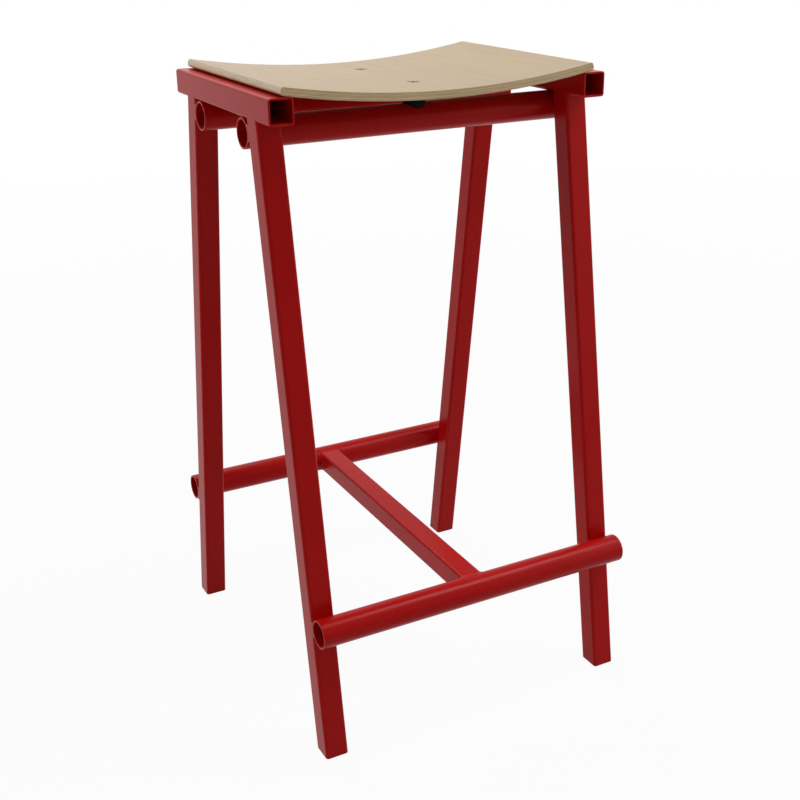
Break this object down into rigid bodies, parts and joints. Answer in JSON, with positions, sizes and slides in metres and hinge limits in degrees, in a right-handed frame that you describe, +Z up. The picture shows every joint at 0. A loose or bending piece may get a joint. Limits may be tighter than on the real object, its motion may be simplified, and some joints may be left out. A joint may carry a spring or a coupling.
{
  "type": "bar stool",
  "caption": "Bar stool: splayed legs and rails of welded square and round steel tube, cross footrests joined by a stretcher, and a shallow bent plywood seat.",
  "frame": {"origin": "on the floor, midway between the four feet", "axes": "+X along the seat's long way, to the right seen from the front; +Y to the back; +Z up"},
  "size_m": [0.366, 0.4108, 0.6751],
  "materials": {
    "red_paint": "satin powder coat",
    "plywood": "clear matt lacquer",
    "black_spacer": "matt",
    "screw_steel": "zinc plated",
    "nut_steel": "zinc plated",
    "black_plug": "matt"
  },
  "bodies": {
    "root": {"seat_shell": "plywood", "stretcher": "red_paint", "end_rail_left": "red_paint", "end_rail_right": "red_paint", "seat_rail_front": "red_paint", "footrest_front": "red_paint", "stretcher_weld_front": "red_paint", "spacer_front": "black_spacer", "seat_screw_front": "screw_steel", "rivet_nut_front": "nut_steel", "seat_rail_rear": "red_paint", "footrest_rear": "red_paint", "stretcher_weld_rear": "red_paint", "spacer_rear": "black_spacer", "seat_screw_rear": "screw_steel", "rivet_nut_rear": "nut_steel", "leg_front_left": "red_paint", "leg_weld_front_left": "red_paint", "seat_rail_weld_front_left": "red_paint", "footrest_weld_front_left": "red_paint", "foot_plug_front_left": "black_plug", "leg_front_right": "red_paint", "leg_weld_front_right": "red_paint", "seat_rail_weld_front_right": "red_paint", "footrest_weld_front_right": "red_paint", "foot_plug_front_right": "black_plug", "leg_rear_left": "red_paint", "leg_weld_rear_left": "red_paint", "seat_rail_weld_rear_left": "red_paint", "footrest_weld_rear_left": "red_paint", "foot_plug_rear_left": "black_plug", "leg_rear_right": "red_paint", "leg_weld_rear_right": "red_paint", "seat_rail_weld_rear_right": "red_paint", "footrest_weld_rear_right": "red_paint", "foot_plug_rear_right": "black_plug"}
  },
  "joints": []
}
